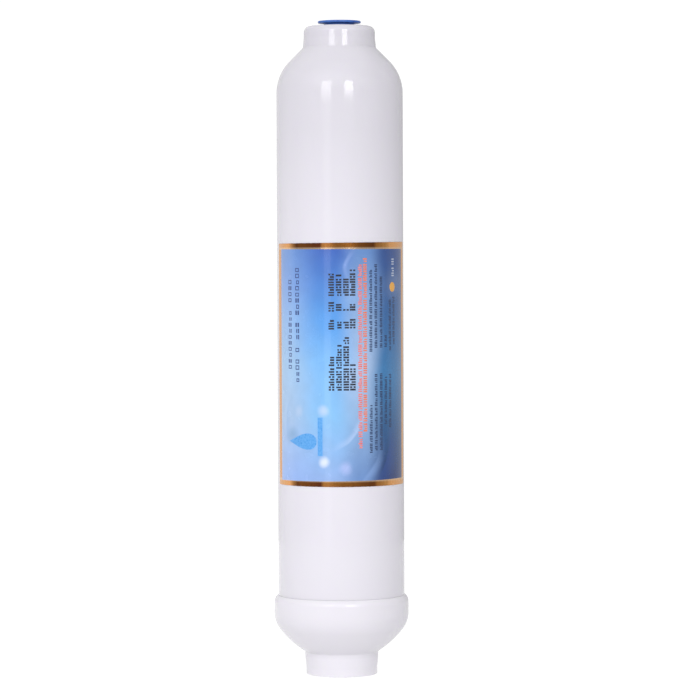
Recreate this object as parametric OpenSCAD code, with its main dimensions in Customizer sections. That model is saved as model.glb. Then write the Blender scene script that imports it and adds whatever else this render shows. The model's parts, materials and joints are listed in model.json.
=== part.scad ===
// Inline water filter cartridge: a sealed white plastic tube of carbon granules that stands on
// its outlet neck. +Z runs from the outlet to the inlet, the label faces -Y, and the origin is
// the centre of the outlet neck's end face. Millimetres.

/* [Housing] */
// Outside diameter of the straight barrel, a nominal 2 inch
body_d = 50; // [48:0.5:52]
// Height from the outlet neck's face to the inlet neck's face
overall_h = 256.8; // [240:0.1:300]
// Wall thickness of the barrel and the dome
wall = 2.5; // [2:0.1:3]
// Radius of the curve from the barrel into the dome
dome_r = 18; // [16:0.5:20]
// Number of stop ribs under the dome
stop_ribs = 6; // [4:1:8]

/* [Necks and ports] */
// Diameter of each neck at its free end
neck_end_d = 28.2; // [27:0.1:30]
// Diameter of each neck where it leaves its dome
neck_root_d = 29; // [28:0.1:31]
// Tapping diameter of a quarter inch tapered pipe thread
port_d = 11.3; // [11:0.05:11.6]
// Depth of each threaded port
port_depth = 12.5; // [11:0.5:13]
// Diameter of the countersink at each port's mouth
port_mouth_d = 13.8; // [13.2:0.1:14.4]

/* [End cap] */
// Outside diameter of the end cap's skirt
cap_d = 53.2; // [52.6:0.1:54]
// Height at which the skirt's rounded shoulder starts
shoulder_z = 28.8; // [27:0.1:32]
// Height of the ledge that the barrel's end is welded to
ledge_z = 23; // [22.5:0.1:24]
// Step in radius from the barrel down to the spigot inside the skirt
spigot_step = 0.3; // [0.1:0.1:0.6]

/* [Dust plug] */
// Diameter of the plug's flange
plug_flange_d = 17; // [15:0.5:20]
// Thickness of the plug's flange
plug_flange_t = 0.9; // [0.8:0.1:1.5]
// Gap between the neck's face and the flange
plug_gap = 1.1; // [0.5:0.1:1.5]
// Length of the plug's shank below the neck's face
plug_len = 10; // [7:0.5:11]

/* [Label] */
// Height of the label's lower edge
label_z = 76; // [60:0.5:90]
// Height of the label
label_h = 95.2; // [60:0.1:110]
// Angle that the label wraps round the barrel
label_sweep = 153; // [120:1:170]
// Thickness of the label film
label_t = 0.12; // [0.05:0.01:0.15]

/* [Filter stack] */
// Thickness of each moulded grid
grid_t = 3; // [2.5:0.5:4]
// Thickness of each woven screen
mesh_t = 0.4; // [0.3:0.1:0.8]
// Thickness of each felt pad
felt_t = 6; // [4:0.5:8]
// Thickness of the foam pad that keeps the carbon packed
foam_t = 12; // [8:0.5:16]
// Radial gap between the moulded grids and the barrel
grid_gap = 0.1; // [0.05:0.05:0.3]

/* [Hidden] */
$fn = 128;

body_r = body_d / 2;
bore_r = body_r - wall;
cap_r = cap_d / 2;
neck_end_r = neck_end_d / 2;
neck_root_r = neck_root_d / 2;
port_r = port_d / 2;
mouth_r = port_mouth_d / 2;
mouth_depth = mouth_r - port_r;

// Inlet end. The barrel turns into the dome by an arc, then a 45 degree cone runs to the neck.
neck_len = 8.65;
neck_draft_len = 3.8;
neck_root_z = overall_h - neck_len;
arc_c_r = body_r - dome_r;
arc_c_z = neck_root_z - (dome_r * sqrt(2) - (neck_root_r - arc_c_r));
rim_round = 2.6;
ceiling_z = overall_h - port_depth;

// Outlet end. The cap's dome is a long arc up from its neck, then a short one into the skirt.
cap_draft_top_z = 6.5;
skirt_z = 24.6;
skirt_arc_r = 11;
skirt_arc_c_r = cap_r - skirt_arc_r;
dome_join = -38;
cap_arc_r = 38;
cap_arc_c_r = skirt_arc_c_r - (cap_arc_r - skirt_arc_r) * cos(dome_join);
cap_arc_c_z = skirt_z - (cap_arc_r - skirt_arc_r) * sin(dome_join);
cap_neck_angle = -acos((neck_root_r - cap_arc_c_r) / cap_arc_r);
shoulder_r = 3.4;
shoulder_sweep = 54;
cap_top = shoulder_z + shoulder_r * sin(shoulder_sweep);
joint_gap = 0.2;
spigot_r = body_r - spigot_step;
barrel_z = cap_top + joint_gap;
base_chamfer = 0.4;
ledge_w = 1.5;
ledge_in_r = bore_r - ledge_w;
cap_wall = 2.6;
cap_wall_arc_r = cap_arc_r - cap_wall;
floor_angle = -asin((cap_arc_c_z - port_depth) / cap_wall_arc_r);
ledge_angle = -acos((ledge_in_r - cap_arc_c_r) / cap_wall_arc_r);
cap_ribs = 6;

// Ribs. Each is sunk into the wall behind it, so that it is one solid with it.
rib_t = 1.6;
rib_gap = 2;
rib_sink = 1;
stop_rib_in_r = 16;
stop_rib_drop = 1.5;
stop_rib_h = 10.5;
stop_rib_z = arc_c_z - stop_rib_drop;
stop_rib_top_z = stop_rib_z + stop_rib_h;

// The stack of pads and screens, from the outlet up. The carbon fills what the rest leave.
outlet_grid_z = ledge_z;
outlet_mesh_z = outlet_grid_z + grid_t;
outlet_felt_z = outlet_mesh_z + mesh_t;
carbon_z = outlet_felt_z + felt_t;
diffuser_z = stop_rib_z - grid_t;
inlet_mesh_z = diffuser_z - mesh_t;
foam_z = inlet_mesh_z - foam_t;
inlet_felt_z = foam_z - felt_t;
grid_r = bore_r - grid_gap;
grid_hole_r = 1.1;
grid_rings = [[0, 1], [5, 6], [9.5, 12], [14, 18], [18.5, 24]];

// The plug's shank is a short land, a shoulder into the countersink, and a slow taper.
plug_land_r = 6;
plug_seat_r = port_r - 0.07;
plug_tip_r = 4.95;
plug_land_drop = 0.2;
plug_wall = 1.2;
plug_tip_round = 0.6;
plug_edge = 0.2;
plug_top_edge = 0.4;
plug_lip = 0.3;
plug_tip_z = overall_h - plug_len;
plug_under_z = overall_h + plug_gap;
plug_top_z = plug_under_z + plug_flange_t;

// Straight spans that stand in for each kind of arc, and how far a cut runs past a face
arc_steps = 6;
small_arc_steps = 4;
cut = 1;

function arc(cx, cz, r, a0, a1, n) = [for (i = [0:n]) let (a = a0 + (a1 - a0) * i / n)
    [cx + r * cos(a), cz + r * sin(a)]];

// Half outline of the housing without its hollow
module housing_outline() {
    polygon(concat(
        [[0, ledge_z], [spigot_r, ledge_z], [spigot_r, barrel_z], [body_r, barrel_z]],
        arc(arc_c_r, arc_c_z, dome_r, 0, 45, arc_steps),
        [[neck_root_r, neck_root_z], [neck_end_r, neck_root_z + neck_draft_len]],
        arc(neck_end_r - rim_round, overall_h - rim_round, rim_round, 0, 90, small_arc_steps),
        [[0, overall_h]]
    ));
}

// Half outline of the housing's hollow, below its threaded port
module housing_hollow() {
    inner_r = dome_r - wall;
    ceiling_r = arc_c_r + inner_r * sqrt(2) - (ceiling_z - arc_c_z);
    polygon(concat(
        [[0, ledge_z - cut], [bore_r, ledge_z - cut]],
        arc(arc_c_r, arc_c_z, inner_r, 0, 45, arc_steps),
        [[ceiling_r, ceiling_z], [0, ceiling_z]]
    ));
}

// Half outline of the end cap without its hollow
module cap_outline() {
    polygon(concat(
        [[0, 0], [neck_end_r - base_chamfer, 0], [neck_end_r, base_chamfer],
         [neck_root_r, cap_draft_top_z]],
        arc(cap_arc_c_r, cap_arc_c_z, cap_arc_r, cap_neck_angle, dome_join, small_arc_steps),
        arc(skirt_arc_c_r, skirt_z, skirt_arc_r, dome_join * 3 / 4, 0, small_arc_steps - 1),
        arc(cap_r - shoulder_r, shoulder_z, shoulder_r, 0, shoulder_sweep, small_arc_steps),
        [[0, cap_top]]
    ));
}

// Half outline of the end cap's hollow: a bowl over the port, and the socket for the barrel
module cap_hollow() {
    polygon(concat(
        [[0, port_depth]],
        arc(cap_arc_c_r, cap_arc_c_z, cap_wall_arc_r, floor_angle, ledge_angle, arc_steps),
        [[ledge_in_r, ledge_z], [spigot_r, ledge_z], [spigot_r, cap_top + cut], [0, cap_top + cut]]
    ));
}

// A countersunk port cut downwards from z = 0
module port_cut(depth) {
    translate([0, 0, -depth - cut]) cylinder(r = port_r, h = depth + 2 * cut);
    translate([0, 0, -mouth_depth]) cylinder(r1 = port_r, r2 = mouth_r, h = mouth_depth);
    cylinder(r = mouth_r, h = cut);
}

// Radial ribs between two radii and two heights
module ribs(count, r0, r1, z0, z1) {
    for (i = [0:count - 1])
        rotate([0, 0, (i + 0.5) * 360 / count])
            translate([r0, -rib_t / 2, z0]) cube([r1 - r0, rib_t, z1 - z0]);
}

// A disc pierced by rings of round holes
module pierced_disc(thick) {
    difference() {
        cylinder(r = grid_r, h = thick);
        for (ring = grid_rings)
            for (i = [0:ring[1] - 1])
                rotate([0, 0, i * 360 / ring[1]])
                    translate([ring[0], 0, -cut]) cylinder(r = grid_hole_r, h = thick + 2 * cut, $fn = 24);
    }
}

module housing_body() {
    color("white") difference() {
        rotate_extrude() housing_outline();
        difference() {
            rotate_extrude() housing_hollow();
            ribs(stop_ribs, stop_rib_in_r, body_r - wall / 2, stop_rib_z, stop_rib_top_z);
        }
        translate([0, 0, overall_h]) port_cut(port_depth);
    }
}

module end_cap() {
    color("ghostwhite") difference() {
        rotate_extrude() cap_outline();
        difference() {
            rotate_extrude() cap_hollow();
            ribs(cap_ribs, port_r + rib_gap, ledge_in_r + rib_sink, port_depth - rib_sink, ledge_z);
        }
        mirror([0, 0, 1]) port_cut(port_depth);
    }
}

module label() {
    color("cornflowerblue")
        rotate([0, 0, -90 - label_sweep / 2])
            translate([0, 0, label_z])
                rotate_extrude(angle = label_sweep)
                    translate([body_r, 0]) square([label_t, label_h]);
}

module inlet_plug() {
    flange_r = plug_flange_d / 2;
    color("royalblue") rotate_extrude() polygon(concat(
        [[0, plug_tip_z], [plug_tip_r - plug_tip_round, plug_tip_z],
         [plug_tip_r, plug_tip_z + plug_tip_round], [plug_seat_r, overall_h - mouth_depth],
         [plug_land_r, overall_h + plug_land_drop], [plug_land_r, plug_under_z]],
        [[flange_r - plug_edge, plug_under_z], [flange_r, plug_under_z + plug_edge],
         [flange_r, plug_top_z - plug_top_edge], [flange_r - plug_top_edge, plug_top_z]],
        [[plug_land_r - plug_wall + plug_lip, plug_top_z], [plug_land_r - plug_wall, plug_top_z - plug_lip],
         [plug_tip_r - plug_wall, plug_tip_z + plug_wall], [0, plug_tip_z + plug_wall]]
    ));
}

module inlet_diffuser() {
    color("gainsboro") translate([0, 0, diffuser_z]) pierced_disc(grid_t);
}

module inlet_mesh() {
    color("whitesmoke") translate([0, 0, inlet_mesh_z]) cylinder(r = bore_r, h = mesh_t);
}

module inlet_foam() {
    color("lightsteelblue") translate([0, 0, foam_z]) cylinder(r = bore_r, h = foam_t);
}

module inlet_felt() {
    color("ivory") translate([0, 0, inlet_felt_z]) cylinder(r = bore_r, h = felt_t);
}

module carbon_bed() {
    color("dimgray") translate([0, 0, carbon_z]) cylinder(r = bore_r, h = inlet_felt_z - carbon_z);
}

module outlet_felt() {
    color("ivory") translate([0, 0, outlet_felt_z]) cylinder(r = bore_r, h = felt_t);
}

module outlet_mesh() {
    color("whitesmoke") translate([0, 0, outlet_mesh_z]) cylinder(r = bore_r, h = mesh_t);
}

module outlet_grid() {
    color("gainsboro") translate([0, 0, outlet_grid_z]) pierced_disc(grid_t);
}

housing_body();
end_cap();
label();
inlet_plug();
inlet_diffuser();
inlet_mesh();
inlet_foam();
inlet_felt();
carbon_bed();
outlet_felt();
outlet_mesh();
outlet_grid();
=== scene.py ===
import json
import math
import random

import bmesh
import bpy
from mathutils import Matrix, Vector, noise


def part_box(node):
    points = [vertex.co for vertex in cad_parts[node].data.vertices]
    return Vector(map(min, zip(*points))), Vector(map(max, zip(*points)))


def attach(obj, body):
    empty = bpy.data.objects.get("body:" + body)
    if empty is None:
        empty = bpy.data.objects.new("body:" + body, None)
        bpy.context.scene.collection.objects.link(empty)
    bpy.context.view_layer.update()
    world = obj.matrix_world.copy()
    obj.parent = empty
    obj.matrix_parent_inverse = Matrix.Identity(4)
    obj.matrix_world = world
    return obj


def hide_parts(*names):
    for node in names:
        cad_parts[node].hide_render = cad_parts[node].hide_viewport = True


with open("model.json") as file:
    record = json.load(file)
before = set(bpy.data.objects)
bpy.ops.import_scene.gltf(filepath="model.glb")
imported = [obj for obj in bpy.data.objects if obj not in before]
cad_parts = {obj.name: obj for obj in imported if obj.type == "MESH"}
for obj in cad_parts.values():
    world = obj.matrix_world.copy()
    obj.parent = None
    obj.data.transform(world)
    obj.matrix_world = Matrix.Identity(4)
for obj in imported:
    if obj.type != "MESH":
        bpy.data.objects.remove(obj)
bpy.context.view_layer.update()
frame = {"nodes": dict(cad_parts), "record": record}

MM = 0.001
# Lengths below this count as nothing.
TINY = 1e-6
SCENE = bpy.context.scene
CARTRIDGE = "cartridge"
PLUG = "plug"

# ---------------------------------------------------------------- sizes, from the frame
HOUSING_LOW, HOUSING_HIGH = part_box("housing_body")
CAP_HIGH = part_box("end_cap")[1]
LABEL_LOW, LABEL_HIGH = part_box("label")
PLUG_LOW, PLUG_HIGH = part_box("inlet_plug")
DIFFUSER_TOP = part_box("inlet_diffuser")[1].z
MOUNTS = {m["name"]: m for m in frame["record"]["mounts"]}

BODY_R = MOUNTS["clip_barrel"]["dims"]["r_mm"] * MM
PORT_R = MOUNTS["outlet_port"]["dims"]["r_mm"] * MM
TOP_Z = HOUSING_HIGH.z
CAP_R = CAP_HIGH.x
CAP_TOP = CAP_HIGH.z
LEDGE_Z = HOUSING_LOW.z
LABEL_R = -LABEL_LOW.y
# Half the label's width, along the barrel.
LABEL_HALF = BODY_R * math.atan2(LABEL_HIGH.x, -LABEL_HIGH.y)
LABEL_BASE = LABEL_LOW.z
LABEL_CREST = LABEL_HIGH.z
LABEL_MID = (LABEL_BASE + LABEL_CREST) / 2

# The outlines repeat part.scad's driving sizes, in metres, except that the barrel starts a hairline
# above the end cap.
WALL = 2.5 * MM
BORE_R = BODY_R - WALL
SPIGOT_R = BODY_R - 0.3 * MM
JOINT_GAP = 0.01 * MM
BARREL_Z = CAP_TOP + JOINT_GAP
DOME_R = 18 * MM
NECK_END_R = 14.1 * MM
NECK_ROOT_R = 14.5 * MM
NECK_LEN = 8.65 * MM
NECK_DRAFT = 3.8 * MM
RIM_ROUND = 2.6 * MM
PORT_DEPTH = 12.5 * MM
MOUTH_R = 6.9 * MM
MOUTH_DEPTH = MOUTH_R - PORT_R
CEILING_Z = TOP_Z - PORT_DEPTH
ARC_C_R = BODY_R - DOME_R
ARC_C_Z = TOP_Z - NECK_LEN - (DOME_R * math.sqrt(2) - (NECK_ROOT_R - ARC_C_R))
SKIRT_Z = 24.6 * MM
SKIRT_ARC_R = 11 * MM
SKIRT_ARC_C = (CAP_R - SKIRT_ARC_R, SKIRT_Z)
DOME_JOIN = -38
CAP_ARC_R = 38 * MM
CAP_ARC_C = (SKIRT_ARC_C[0] - (CAP_ARC_R - SKIRT_ARC_R) * math.cos(math.radians(DOME_JOIN)),
             SKIRT_ARC_C[1] - (CAP_ARC_R - SKIRT_ARC_R) * math.sin(math.radians(DOME_JOIN)))
CAP_NECK_ANGLE = -math.degrees(math.acos((NECK_ROOT_R - CAP_ARC_C[0]) / CAP_ARC_R))
CAP_NECK_STRAIGHT = 3 * MM
CAP_NECK_TAPER_TOP = 6.5 * MM
CAP_WALL = 2.6 * MM
SHOULDER_R = 3.4 * MM
SHOULDER_SWEEP = 54
LEDGE_IN_R = BORE_R - 1.5 * MM
RIB_TURNS = [math.radians(60 * i + 30) for i in range(6)]
RIB_HALF = 0.8 * MM
RIB_SINK = 0.8 * MM
RIB_BEVEL = 0.15 * MM
STOP_RIB_IN_R = 16 * MM
STOP_RIB_RISE = 4 * MM
WEB_CLEAR = 2 * MM

# Where the outlines' straight stretches begin beside a corner, and the gaps to their next ring.
FOOT_HEIGHT = 5 * MM
BARREL_EDGE = 1 * MM
CONE_END = 3 * MM
PORT_CORNER = 0.4 * MM
CAP_SPIGOT_EDGE = 2 * MM
RING_GAP = 0.1 * MM
THREAD_RING_GAP = 0.02 * MM
# How much the outlines' corners are rounded.
NECK_FILLET = 0.55 * MM
MOUTH_FILLET = 0.25 * MM
CEILING_FILLET = 0.6 * MM
CAP_FILLET = 0.5 * MM
CAP_LEDGE_FILLET = 0.2 * MM
CAP_FLOOR_FILLET = 0.3 * MM
JOINT_ROUND = 0.04 * MM
PLUG_FILLET = 0.35 * MM

# A thread's section is a triangle wave, made steeper, lowered and cut off flat at both ends.
THREAD_PITCH = 25.4 / 18 * MM
THREAD_HEIGHT = 0.8 * MM
THREAD_STEEP = 1.35
THREAD_LAND = 0.15
THREAD_FADE = 0.3 * MM
THREAD_STEPS = 96
TURN_STEPS = 192
SMALL_TURN_STEPS = 128


# ---------------------------------------------------------------- outlines and lathes
def arc(center, radius, start, end, steps):
    """Points on an arc, with angles in degrees."""
    turns = [math.radians(start + (end - start) * i / steps) for i in range(steps + 1)]
    return [(center[0] + radius * math.cos(a), center[1] + radius * math.sin(a)) for a in turns]


def rounded(points, radius, steps=4):
    """An open outline whose inner corners are rounded by a small radius."""
    out = [points[0]]
    for before, corner, after in zip(points, points[1:], points[2:]):
        p, a, b = Vector(corner), Vector(before), Vector(after)
        reach = min(radius, (a - p).length * 0.45, (b - p).length * 0.45)
        start, end = p + (a - p).normalized() * reach, p + (b - p).normalized() * reach
        for i in range(steps + 1):
            t = i / steps
            q = (1 - t) ** 2 * start + 2 * t * (1 - t) * p + t * t * end
            out.append((q.x, q.y))
    return out + [points[-1]]


def stretch(a, b, steps):
    """Points from a towards b, without b."""
    return [(a[0] + (b[0] - a[0]) * i / steps, a[1] + (b[1] - a[1]) * i / steps) for i in range(steps)]


def thread_depth(angle, z, low, high):
    """How far a pipe thread's groove reaches into the wall at one place, fading out at both ends."""
    phase = (z / THREAD_PITCH - angle / (2 * math.pi)) % 1
    groove = min(1.0, max(0.0, THREAD_STEEP * (1 - abs(2 * phase - 1)) - THREAD_LAND))
    fade = min(1.0, max(0.0, (z - low) / THREAD_PITCH)) * min(1.0, max(0.0, (high - z) / THREAD_FADE))
    return THREAD_HEIGHT * groove * fade


def new_object(name, bm, angle=35):
    """An object of the mesh, shaded smooth except at edges sharper than an angle in degrees."""
    bmesh.ops.recalc_face_normals(bm, faces=bm.faces)
    mesh = bpy.data.meshes.new(name)
    bm.to_mesh(mesh)
    bm.free()
    mesh.shade_smooth()
    mesh.set_sharp_from_angle(angle=math.radians(angle))
    obj = bpy.data.objects.new(name, mesh)
    SCENE.collection.objects.link(obj)
    return obj


def lathe(bm, outline, steps=TURN_STEPS, bulge=None):
    """Turns a closed outline of (radius, z) about Z. bulge(angle, radius, z) adds to the radius."""
    rings = []
    for r, z in outline:
        if r < TINY:
            rings.append([bm.verts.new((0, 0, z))])
            continue
        ring = []
        for i in range(steps):
            a = 2 * math.pi * i / steps
            bulged = r + (bulge(a, r, z) if bulge else 0)
            ring.append(bm.verts.new((bulged * math.cos(a), bulged * math.sin(a), z)))
        rings.append(ring)
    for low, high in zip(rings, rings[1:] + rings[:1]):
        if len(low) == 1 and len(high) == 1:
            continue
        for i in range(steps):
            j = (i + 1) % steps
            if len(low) == 1:
                bm.faces.new((low[0], high[j], high[i]))
            elif len(high) == 1:
                bm.faces.new((low[i], low[j], high[0]))
            else:
                bm.faces.new((low[i], low[j], high[j], high[i]))


def box(bm, low, high, turn, bevel):
    """A box between two corners, turned about Z, with bevelled edges."""
    made = bmesh.ops.create_cube(bm, size=1)["verts"]
    mid = [(a + b) / 2 for a, b in zip(low, high)]
    size = [b - a for a, b in zip(low, high)]
    fit = Matrix.Rotation(turn, 4, "Z") @ Matrix.Translation(mid) @ Matrix.Diagonal((*size, 1))
    bmesh.ops.transform(bm, matrix=fit, verts=made)
    edges = list({e for v in made for e in v.link_edges})
    bmesh.ops.bevel(bm, geom=edges, offset=bevel, segments=2, profile=0.5, affect="EDGES")


def fin(bm, outline, half, turn):
    """A flat upright rib of (radius, z) outline and half its thickness, turned about Z."""
    spin = Matrix.Rotation(turn, 4, "Z")
    near = [bm.verts.new(spin @ Vector((r, -half, z))) for r, z in outline]
    far = [bm.verts.new(spin @ Vector((r, half, z))) for r, z in outline]
    bm.faces.new(near)
    bm.faces.new(far[::-1])
    for i in range(len(outline)):
        j = (i + 1) % len(outline)
        bm.faces.new((near[i], near[j], far[j], far[i]))


def place(obj, body, slot, *replaced):
    """Fixes a piece to a body and hides the CAD nodes that it replaces. Its slot is not used."""
    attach(obj, body)
    if replaced:
        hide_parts(*replaced)
    return obj


# ---------------------------------------------------------------- node helpers
class Shader:
    """A node material with one Principled shader and short calls for what feeds it."""

    def __init__(self, name, **sockets):
        self.material = bpy.data.materials.new(name)
        self.material.use_nodes = True
        self.nodes = self.material.node_tree.nodes
        self.links = self.material.node_tree.links
        self.main = self.nodes["Principled BSDF"]
        for key, value in sockets.items():
            self.main.inputs[key.replace("_", " ")].default_value = value
        self.coords = self.nodes.new("ShaderNodeTexCoord").outputs["Object"]

    def node(self, kind, inputs=None, **settings):
        made = self.nodes.new("ShaderNode" + kind)
        for key, value in settings.items():
            setattr(made, key, value)
        for key, value in (inputs or {}).items():
            if isinstance(value, bpy.types.NodeSocket):
                self.links.new(value, made.inputs[key])
            else:
                made.inputs[key].default_value = value
        return made

    def math(self, operation, a, b=0.0, c=0.0):
        return self.node("Math", {0: a, 1: b, 2: c}, operation=operation).outputs[0]

    def blend(self, operation, a, b):
        """A vector operation on two colours or vectors."""
        return self.node("VectorMath", {0: a, 1: b}, operation=operation).outputs[0]

    def scaled(self, vector, factor):
        return self.node("VectorMath", {0: vector, "Scale": factor}, operation="SCALE").outputs[0]

    def split(self, vector):
        return self.node("SeparateXYZ", {"Vector": vector}).outputs

    def squeezed(self, along):
        """The object's coordinates with features drawn out along Z."""
        return self.node("Mapping", {"Vector": self.coords, "Scale": (1, 1, along)}).outputs[0]

    def noise(self, scale, detail=3.0, roughness=0.5, coords=None):
        made = self.node("TexNoise", {"Vector": coords or self.coords, "Scale": scale, "Detail": detail,
                                      "Roughness": roughness})
        return made.outputs["Fac"]

    def span(self, value, low, high, to_low=0.0, to_high=1.0, smooth_step=False):
        """Maps a value from one stretch to another and holds it at the ends."""
        kind = "SMOOTHSTEP" if smooth_step else "LINEAR"
        made = self.node("MapRange", {"Value": value, "From Min": low, "From Max": high, "To Min": to_low,
                                      "To Max": to_high}, interpolation_type=kind)
        return made.outputs["Result"]

    def mix(self, factor, a, b):
        made = self.node("Mix", {"Factor": factor}, data_type="RGBA")
        for socket, value in ((made.inputs[6], a), (made.inputs[7], b)):
            if isinstance(value, bpy.types.NodeSocket):
                self.links.new(value, socket)
            else:
                socket.default_value = (*value, 1)
        return made.outputs[2]

    def set(self, socket, value):
        self.links.new(value, self.main.inputs[socket])

    def bump(self, height, strength, distance):
        made = self.node("Bump", {"Height": height, "Strength": strength, "Distance": distance})
        self.set("Normal", made.outputs["Normal"])


def put(obj, material):
    """Gives an object one material only."""
    obj.data.materials.clear()
    obj.data.materials.append(material)


# ---------------------------------------------------------------- materials
# How far light travels inside the white and the blue plastic, in metres, for red, green and blue.
WHITE_GLOW = (0.0016, 0.0014, 0.0018)
BLUE_GLOW = (0.0003, 0.0006, 0.0015)
# Each mottled colour has the two tones that it varies between.
HOUSING_WHITES = ((0.775, 0.753, 0.820), (0.755, 0.733, 0.800))
CAP_WHITES = ((0.79, 0.768, 0.83), (0.77, 0.748, 0.81))
GRID_WHITES = ((0.72, 0.72, 0.69), (0.66, 0.66, 0.63))
PLUG_BLUES = ((0.035, 0.12, 0.45), (0.055, 0.17, 0.54))
# The carbon's darker black is painted shade in the gaps between its grains.
CARBON_GAP_SHADE_BLACKS = ((0.003, 0.003, 0.004), (0.022, 0.022, 0.024))
# Painted light and shade on each moulding: how much lighter or darker its colour is made at some heights,
# in metres. The barrel is lighter in its middle and darker towards its ends, the cap's lower dome is darker
# as painted shade, and the cap's top edge is lighter as a painted highlight on its shoulder.
HOUSING_PAINTED_LIGHT = ((BARREL_Z, 0.96), (0.060, 1.01), (0.080, 1.03), (0.178, 1.03), (0.200, 1.0),
                  (0.215, 0.965), (TOP_Z, 0.95))
CAP_PAINTED_LIGHT = ((0.0, 0.99), (0.007, 0.99), (0.010, 0.91), (0.018, 0.93), (0.026, 0.99),
              (CAP_TOP - 3 * MM, 1.0), (CAP_TOP, 1.06))
NO_PAINTED_LIGHT = ((0.0, 1.0), (1.0, 1.0))


def moulded_plastic(name, tint, dark, rough, subsurface, painted_light=NO_PAINTED_LIGHT):
    """Glossy moulded polypropylene: faint flow marks in colour, orange peel and fine rub marks.

    The tones by height are painted light and shade: the colour is made lighter or darker where the studio
    light falls more or less along the moulding's length."""
    s = Shader(name, IOR=1.49, Subsurface_Weight=subsurface, Subsurface_Scale=1.0)
    s.main.inputs["Subsurface Radius"].default_value = WHITE_GLOW
    cloud = s.noise(28, 4, 0.55, s.squeezed(0.35))
    # Painted light and shade: the colour is made lighter or darker by height.
    painted_light_tone = tone_ramp(s, s.split(s.coords)[2], [(z, (light, light, light)) for z, light in painted_light])
    color = s.mix(s.span(cloud, 0.3, 0.7), dark, tint)
    s.set("Base Color", s.blend("MULTIPLY", color, painted_light_tone))
    rub = s.math("MULTIPLY", s.noise(420, 3, 0.65, s.squeezed(0.08)), s.noise(35, 2))
    s.set("Roughness", s.span(rub, 0.1, 0.45, rough - 0.02, rough + 0.05))
    peel = s.math("MULTIPLY", s.noise(900, 2, 0.4), 0.15)
    s.bump(s.math("ADD", peel, s.noise(90, 2)), 0.016, 0.0006)
    return s.material


def blue_plastic():
    """Soft blue polyethylene with a fine moulded grain."""
    s = Shader("blue_polyethylene", IOR=1.5, Subsurface_Weight=0.2, Subsurface_Scale=1.0)
    s.main.inputs["Subsurface Radius"].default_value = BLUE_GLOW
    s.set("Base Color", s.mix(s.span(s.noise(240, 3), 0.35, 0.65), *PLUG_BLUES))
    s.set("Roughness", s.span(s.noise(700, 3), 0.3, 0.7, 0.26, 0.4))
    s.bump(s.noise(2200, 2), 0.12, 0.0003)
    return s.material


# The gold border's painted reflections: across from the label's middle in mm, and colour, dark bronze in
# front and pale gold towards the sides, as the foil reflects the studio.
GOLD_PAINTED_REFLECTIONS = [(-33, (0.84, 0.44, 0.19)), (-24.2, (0.90, 0.42, 0.14)), (-22, (0.48, 0.20, 0.045)),
              (-19.6, (0.17, 0.045, 0.002)), (-17.5, (0.26, 0.080, 0.004)),
              (-9, (0.14, 0.026, 0.001)), (-8, (0.42, 0.165, 0.030)), (0, (0.30, 0.105, 0.009)),
              (12.6, (0.17, 0.045, 0.001)), (13.8, (0.42, 0.16, 0.025)), (19, (0.72, 0.34, 0.09)),
              (21, (0.95, 0.46, 0.16)), (33, (1.0, 0.54, 0.24))]
# A painted highlight where the bands meet the picture: how far up or down from the label's middle, in mm,
# it fades in and out, its colour and how strongly it covers the gold.
GOLD_HIGHLIGHT_NEAR = (44.7, 45.2)
GOLD_HIGHLIGHT_FAR = (45.4, 46.0)
GOLD_HIGHLIGHT_TONE = (0.92, 0.72, 0.50)
GOLD_HIGHLIGHT_COVER = 0.6


def gold_foil():
    """Gold with a lacquer, whose colour holds painted reflections: bands of bronze and pale gold that
    follow each other round it, and a painted highlight along the bands' inner edges.
    """
    s = Shader("gold_foil", Metallic=0.8, IOR=1.5, Coat_Weight=0.3)
    s.main.inputs["Coat Roughness"].default_value = 0.08
    split = s.split(label_coordinates(s))
    away = s.math("ABSOLUTE", split[1])
    risen = s.span(away, *GOLD_HIGHLIGHT_NEAR, 0, GOLD_HIGHLIGHT_COVER)
    painted_highlight = s.math("MULTIPLY", risen, s.span(away, *GOLD_HIGHLIGHT_FAR, 1, 0))
    brushed = s.span(s.noise(1400, 2, 0.5, s.squeezed(0.1)), 0.3, 0.7, 0.93, 1.07)
    # Painted reflections across the border, and a painted highlight along its inner edges.
    tone = s.mix(painted_highlight, tone_ramp(s, split[0], GOLD_PAINTED_REFLECTIONS), GOLD_HIGHLIGHT_TONE)
    s.set("Base Color", s.scaled(tone, brushed))
    s.set("Roughness", s.span(s.noise(300, 2), 0.3, 0.7, 0.22, 0.28))
    s.bump(s.noise(300, 2), 0.006, 0.0002)
    return s.material


def ink(name, color, pale):
    """Glossy printing ink that varies between a colour and a paler one."""
    s = Shader(name, IOR=1.5, Coat_Weight=0.6)
    s.main.inputs["Coat Roughness"].default_value = 0.1
    s.set("Base Color", s.mix(s.span(s.noise(1600, 2, 0.5), 0.35, 0.75), color, pale))
    s.set("Roughness", s.span(s.noise(800, 2), 0.3, 0.7, 0.25, 0.4))
    return s.material


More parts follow.
